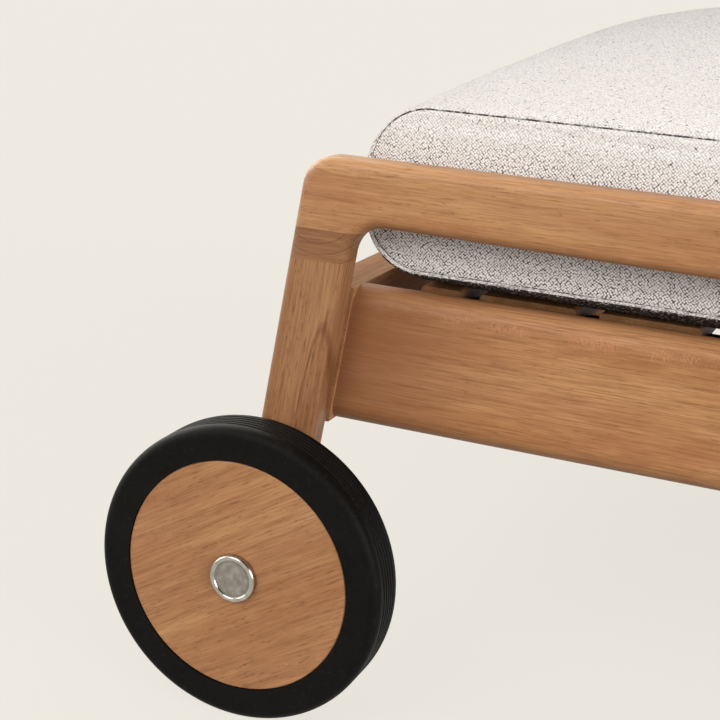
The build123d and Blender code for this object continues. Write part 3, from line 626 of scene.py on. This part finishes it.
def cushion_shape(crown):
    """The whole cushion: a long band wrapped round two side panels, with a sunk seam and a soft roll between them."""
    low = np.minimum(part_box("cushion_back")[0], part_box("cushion_seat")[0])
    high = np.maximum(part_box("cushion_back")[1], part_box("cushion_seat")[1])
    bottom, seam_low = low[2], low[2] + seam_rise
    seam_high = seam_low + panel_height
    head, foot = low[0] + end_inset, high[0] - end_inset
    half = high[1]
    middle = (head + foot) / 2
    steps = [0.0]
    step = first_step
    while steps[-1] + step < half - row_step / 2:
        steps.append(steps[-1] + step)
        step = min(step * step_growth, row_step)
    distances = np.array(steps)
    across = np.concatenate([distances - half, [0], half - distances[::-1]])
    long_columns = int((foot - head) / column_step)
    hinge = next(joint for joint in frame["joints"] if joint["name"] == "backrest_hinge")["pos_m"][0]
    rows = []
    for y in across:
        distance = half - abs(y)
        sunk = seam_groove * math.exp(-(distance / seam_width) ** 2)
        end = end_bulge * ease(distance, end_round) - sunk
        ring = rounded_ring(head - end, foot + end, seam_low, seam_high, seam_corner + end, long_columns)
        x, z = ring[:, 0], ring[:, 1]
        from_end = np.minimum(x - head, foot - x) + end
        under = np.clip((seam_low + seam_corner - z) / seam_corner, 0, 1)
        under = under * under * (3 - 2 * under)
        turned = min(distance / roll_width, 1)
        out = roll_bulge * roll_radius * math.sin(math.pi * turned)
        out = out + min(distance, roll_width) - roll_width * turned ** 3
        reach = lower_round + lower_round_ends * np.exp(-from_end / lower_fade)
        slope = 1 - (1 - np.clip((distance - roll_width) / (reach - roll_width), 0, 1)) ** lower_power
        rolled = roll_radius * (1 - math.cos(math.pi * turned))
        z = z - under * (rolled + (seam_rise - 2 * roll_radius) * slope)
        z = np.maximum(z, bottom)
        section = max(0.0, 1 - abs(y / half) ** crown_flatness) ** crown_power
        rise = crown * (1 - np.exp(-from_end / crown_reach)) * section
        z = z + rise * np.clip((z - seam_low) / panel_height, 0, 1) ** 2
        rows.append(np.stack([x, y + np.sign(y) * (under * out - sunk), z], axis=1))
    band = np.array(rows)
    count, columns = band.shape[:2]
    points = [band.reshape(-1, 3)]
    faces = []
    beneath = []

    def weave(one, two, outwards):
        """Faces between two neighbouring closed rows of points."""
        for j in range(columns):
            k = (j + 1) % columns
            quad = (int(one[j]), int(one[k]), int(two[k]), int(two[j]))
            faces.append(quad if outwards else quad[::-1])
    line = np.arange(columns)
    flat = (ring[:, 1] < seam_low + shadow_cloth_rise) & (np.roll(ring[:, 1], -1) < seam_low + shadow_cloth_rise)
    for i in range(count - 1):
        weave(i * columns + line, (i + 1) * columns + line, True)
        inside = half - max(abs(across[i]), abs(across[i + 1])) > shadow_cloth_margin
        beneath += (flat & inside).tolist()
    total = count * columns
    turn = arc_columns // 2
    wide = long_columns + 2 * turn
    tall = end_columns + 2 * turn
    seams = []
    for side, row in ((-1, 0), (1, count - 1)):
        before = row * columns + line
        seams.append(before)
        for inset in panel_insets:
            ring = rounded_ring(head + inset, foot - inset, seam_low + inset, seam_high - inset,
                                seam_corner - inset, long_columns)
            sunk = seam_groove * math.exp(-(inset / seam_width) ** 2)
            points.append(np.stack([ring[:, 0], np.full(columns, side * (half - sunk)), ring[:, 1]], axis=1))
            after = total + line
            weave(before, after, side > 0)
            total += columns
            before = after
        ring = np.roll(points[-1], turn, axis=0)
        index = np.roll(before, turn)
        top_line, top_index = ring[:wide + 1], index[:wide + 1]
        foot_line, foot_index = ring[wide:wide + tall + 1], index[wide:wide + tall + 1]
        low_line = ring[wide + tall:2 * wide + tall + 1][::-1]
        low_index = index[wide + tall:2 * wide + tall + 1][::-1]
        head_line = np.concatenate([ring[2 * wide + tall:], ring[:1]])[::-1]
        head_index = np.concatenate([index[2 * wide + tall:], index[:1]])[::-1]
        grid = np.zeros((tall + 1, wide + 1), dtype=int)
        grid[0], grid[-1], grid[:, 0], grid[:, -1] = top_index, low_index, head_index, foot_index
        s = (np.arange(1, wide) / wide)[None, :, None]
        v = (np.arange(1, tall) / tall)[:, None, None]
        inner = ((1 - v) * top_line[None, 1:-1] + v * low_line[None, 1:-1]
                 + (1 - s) * head_line[1:-1, None] + s * foot_line[1:-1, None])
        inner -= ((1 - s) * (1 - v) * top_line[0] + s * (1 - v) * top_line[-1]
                  + (1 - s) * v * low_line[0] + s * v * low_line[-1])
        rise = np.clip((inner[..., 2] - seam_low) / panel_height, 0, 1)
        ends = np.minimum(inner[..., 0] - head, foot - inner[..., 0])
        inner[..., 1] += side * panel_swell * np.sqrt(np.clip(4 * rise * (1 - rise), 0, 1)) * ease(ends, swell_fade)
        grid[1:-1, 1:-1] = total + np.arange((tall - 1) * (wide - 1)).reshape(tall - 1, wide - 1)
        total += (tall - 1) * (wide - 1)
        points.append(inner.reshape(-1, 3))
        for i in range(tall):
            for j in range(wide):
                quad = (grid[i, j], grid[i, j + 1], grid[i + 1, j + 1], grid[i + 1, j])
                faces.append(tuple(int(q) for q in (quad[::-1] if side < 0 else quad)))
    points = np.concatenate(points)
    points[:, 1] *= 1 - waist / half * (1 - ((points[:, 0] - middle) / (foot - middle)) ** 2)
    return points, faces, seams, hinge, beneath


# Swelling of the cushion under the pressure of its filling: size of its cells and cap on the move in metres
sim_voxel = 0.010
sim_pressure = 4.0
sim_frames = 20
sim_quality = 5
sim_cap = 0.022
# Distance from a seam up to which the cloth is held, and over which it is let go, in metres, and steps of that
sim_hold = 0.010
sim_free = 0.035
hold_levels = 20
# How many moved points near to it a point of the cushion follows
near_points = 8
# Crown before the swelling, as a share of the CAD crown, and gap between cushion and arm in metres
crown_start = 1.22
arm_gap = 0.0006


def search_tree(points):
    """Tree that finds the points nearest to a place."""
    tree = kdtree.KDTree(len(points))
    for number, point in enumerate(points):
        tree.insert(point, number)
    tree.balance()
    return tree


def swollen(points, faces, seams):
    """Move the points as cloth blown up between the seams and the slats would move them."""
    bottom = points[:, 2].min()
    scene = bpy.context.scene
    mesh = bpy.data.meshes.new("swell")
    mesh.from_pydata(points.tolist(), [], faces)
    coarse = bpy.data.objects.new("swell", mesh)
    scene.collection.objects.link(coarse)
    remesh = coarse.modifiers.new("voxels", "REMESH")
    remesh.mode = "VOXEL"
    remesh.voxel_size = sim_voxel
    depsgraph = bpy.context.evaluated_depsgraph_get()
    coarse.data = bpy.data.meshes.new_from_object(coarse.evaluated_get(depsgraph))
    coarse.modifiers.clear()
    rest = np.array([vertex.co[:] for vertex in coarse.data.vertices])
    tree = search_tree(points[np.concatenate(seams)])
    gap = np.array([tree.find(point)[2] for point in rest])
    held = np.clip(1 - (gap - sim_hold) / sim_free, 0, 1)
    held = np.maximum(held, np.clip(1 - (rest[:, 2] - bottom) / seam_rise, 0, 1))
    group = coarse.vertex_groups.new(name="held")
    for level in range(hold_levels + 1):
        members = np.nonzero(np.round(held * hold_levels) == level)[0].tolist()
        if members:
            group.add(members, level / hold_levels, "REPLACE")
    cloth = coarse.modifiers.new("cloth", "CLOTH").settings
    cloth.use_pressure = True
    cloth.uniform_pressure_force = sim_pressure
    cloth.vertex_group_mass = group.name
    cloth.effector_weights.gravity = 0
    cloth.quality = sim_quality
    for number in range(1, sim_frames + 1):
        scene.frame_set(number)
    depsgraph = bpy.context.evaluated_depsgraph_get()
    result = coarse.evaluated_get(depsgraph).to_mesh()
    moved = np.array([vertex.co[:] for vertex in result.vertices]) - rest
    scene.frame_set(1)
    bpy.data.objects.remove(coarse)
    length = np.linalg.norm(moved, axis=1, keepdims=True)
    moved *= np.minimum(1, sim_cap / np.maximum(length, 1e-9))
    moved *= (1 - held)[:, None]
    tree = search_tree(rest)
    result = points.copy()
    for number, point in enumerate(points):
        near = tree.find_n(point, near_points)
        weight = np.array([math.exp(-(item[2] / sim_voxel) ** 2) + 1e-6 for item in near])
        result[number] += (weight[:, None] * moved[[item[1] for item in near]]).sum(axis=0) / weight.sum()
    return result


def make_mesh(name, points, faces, material):
    """A smooth piece from its points and faces."""
    mesh = bpy.data.meshes.new(name)
    mesh.from_pydata(np.asarray(points).tolist(), [], faces)
    mesh.shade_smooth()
    piece = bpy.data.objects.new(name, mesh)
    bpy.context.scene.collection.objects.link(piece)
    mesh.materials.append(material)
    return piece


def seam_thread(name, ring, outward, material):
    """Thread lying in the groove of one seam, with short hairs of the fabric standing across it."""
    along = np.roll(ring, -1, axis=0) - np.roll(ring, 1, axis=0)
    along /= np.linalg.norm(along, axis=1, keepdims=True)
    sideways = np.zeros_like(ring)
    sideways[:, 1] = 1
    upright = np.cross(along, sideways)
    angles = np.arange(thread_sides) * math.tau / thread_sides
    turns = [sideways * math.cos(angle) + upright * math.sin(angle) for angle in angles]
    points = [ring + thread_radius * turn for turn in turns]
    count = len(ring)
    faces = []
    for i in range(thread_sides):
        for j in range(count):
            k, m = (j + 1) % count, (i + 1) % thread_sides
            faces.append((i * count + j, i * count + k, m * count + k, m * count + j))
    chance = np.random.default_rng(hair_seed)
    lean = chance.normal(size=(hair_count, 3))
    place = chance.integers(0, count, hair_count)
    share = chance.random(hair_count)[:, None]
    root = ring[place] * (1 - share) + ring[(place + 1) % count] * share
    centre = (ring.min(axis=0) + ring.max(axis=0)) / 2
    away = np.stack([np.zeros(hair_count), np.full(hair_count, hair_outward * outward),
                     np.sign(root[:, 2] - centre[2])], axis=1)
    tip = root + hair_length * (hair_away * away + hair_lean * lean / np.linalg.norm(lean, axis=1, keepdims=True))
    total = thread_sides * count
    for corner in range(3):
        angle = corner * math.tau / 3
        points.append(root + hair_radius * (along[place] * math.cos(angle) + sideways[place] * math.sin(angle)))
    points.append(tip)
    for number in range(hair_count):
        a, b, c, d = (total + number + step * hair_count for step in range(4))
        faces += [(a, b, d), (b, c, d), (c, a, d), (a, c, b)]
    return make_mesh(name, np.concatenate(points), faces, material)


def make_cushion():
    """The cushion and the thread in its two seams."""
    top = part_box("cushion_seat")[1][2]
    full_crown = top - (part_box("cushion_seat")[0][2] + seam_rise + panel_height)
    points, faces, seams, hinge, beneath = cushion_shape(full_crown * crown_start)
    points = swollen(points, faces, seams)
    limit = -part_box("arm_near")[1][1] - arm_gap
    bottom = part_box("cushion_seat")[0][2]
    points[:, 1] = np.clip(points[:, 1], -limit, limit)
    points[:, 2] = np.maximum(points[:, 2], bottom)
    arch = fold_arch * np.clip(1 - ((points[:, 0] - hinge) / fold_half) ** 2, 0, 1)
    inside = np.clip((limit - arch_margin - np.abs(points[:, 1])) / arch_fade, 0, 1)
    points[:, 2] += arch * inside * np.clip((bottom + seam_rise + arch_blend - points[:, 2]) / arch_blend, 0, 1)
    cushion = make_mesh("cushion", points, faces, fabric())
    # Painted shade: the flat faces underneath get the charcoal cloth
    cushion.data.materials.append(shadow_cloth())
    for face, shaded_face in zip(cushion.data.polygons, beneath):
        face.material_index = int(shaded_face)
    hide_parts("cushion_back", "cushion_seat", "cushion_fold")
    sewing = thread()
    pieces = [cushion]
    for side, outward, ring in zip(("near", "far"), (-1, 1), seams):
        pieces.append(seam_thread("seam_thread_" + side, points[ring], outward, sewing))
    for piece in pieces:
        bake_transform(piece)


# Stage: tone of the floor and background, half the floor's size in metres, the share of light that the floor
# gives back, and its own glow, which is stronger where it is looked at
stage_tone = (238, 234, 225)
floor_half = 60
floor_tone = 0.12
floor_glow = 0.14
floor_glow_seen = 0.74
sky_light = (0.555, 0.548, 0.538, 1.0)
# What shiny pieces mirror besides the pale room: a dark panel above on the right and a bright one on the left
shade_panel = (0.05, 0.045, 0.04, 1.0)
bright_panel = (4.6, 4.4, 4.1, 1.0)
# Directions of the two panels, and where their soft edges start and end
shade_place, shade_edge = (0.54, -0.24, 0.76), (0.80, 0.94)
bright_place, bright_edge = (-0.72, 0.40, 0.50), (0.78, 0.97)
# Soft lamps far away: name, strength, spread in degrees, colour and the way that the light travels
lamps = (
    ("key", 1.05, 34, (1.0, 0.975, 0.94), (0.34, 0.95, -0.72)),
    ("left", 0.95, 40, (1.0, 0.98, 0.95), (0.93, 0.35, -0.25)),
    ("fill", 2.35, 40, (1.0, 0.985, 0.96), (-0.86, 0.43, -0.18)),
    ("rim", 0.55, 9, (1.0, 0.98, 0.95), (0.89, -0.25, -0.37)),
)


def make_stage():
    """Pale floor that keeps a soft shadow, plain background and soft studio light."""
    scene = bpy.context.scene
    pale = colour(*stage_tone)
    mesh = bpy.data.meshes.new("floor")
    corners = [(x * floor_half, y * floor_half, 0) for x, y in ((-1, -1), (1, -1), (1, 1), (-1, 1))]
    mesh.from_pydata(corners, [], [(0, 1, 2, 3)])
    floor = bpy.data.objects.new("floor", mesh)
    scene.collection.objects.link(floor)
    t = Tree("floor")
    t.surface(Base_Color=tuple(floor_tone * level for level in pale[:3]) + (1,), Roughness=1.0)
    t.shader.inputs["Specular IOR Level"].default_value = 0.0
    rays = t.add("ShaderNodeLightPath")
    seen = t.math("MAXIMUM", rays.outputs["Is Camera Ray"], rays.outputs["Is Glossy Ray"])
    t.surface(Emission_Color=pale, Emission_Strength=t.math("MULTIPLY_ADD", seen, floor_glow_seen, floor_glow))
    mesh.materials.append(t.material)
    world = bpy.data.worlds.new("world")
    scene.world = world
    world.use_nodes = True
    nodes, links = world.node_tree.nodes, world.node_tree.links
    rays = nodes.new("ShaderNodeLightPath")
    direction = nodes.new("ShaderNodeTexCoord").outputs["Generated"]

    def panel(centre, start, end):
        """Share of a soft round panel of the studio that a direction meets."""
        facing = nodes.new("ShaderNodeVectorMath")
        facing.operation = "DOT_PRODUCT"
        links.new(direction, facing.inputs[0])
        facing.inputs[1].default_value = Vector(centre).normalized()
        share = nodes.new("ShaderNodeMapRange")
        share.interpolation_type = "SMOOTHSTEP"
        share.inputs["From Min"].default_value = start
        share.inputs["From Max"].default_value = end
        links.new(facing.outputs["Value"], share.inputs["Value"])
        return share.outputs["Result"]

    def blended(share, first, second):
        node = nodes.new("ShaderNodeMix")
        node.data_type = "RGBA"
        links.new(share, node.inputs[0])
        for socket, value in ((node.inputs[6], first), (node.inputs[7], second)):
            if isinstance(value, tuple):
                socket.default_value = value
            else:
                links.new(value, socket)
        return node.outputs[2]

    mirrored = blended(panel(shade_place, *shade_edge), pale, shade_panel)
    mirrored = blended(panel(bright_place, *bright_edge), mirrored, bright_panel)
    light = blended(rays.outputs["Is Glossy Ray"], sky_light, mirrored)
    links.new(blended(rays.outputs["Is Camera Ray"], light, pale), nodes["Background"].inputs[0])
    for name, strength, spread, tint, heading in lamps:
        sun = bpy.data.lights.new(name, "SUN")
        sun.energy = strength
        sun.angle = math.radians(spread)
        sun.color = tint
        lamp = bpy.data.objects.new(name, sun)
        scene.collection.objects.link(lamp)
        lamp.rotation_euler = Vector(heading).to_track_quat("-Z", "Y").to_euler()
    scene.view_settings.view_transform = "Standard"


make_camera()
make_stage()
dress_frame()
make_cushion()
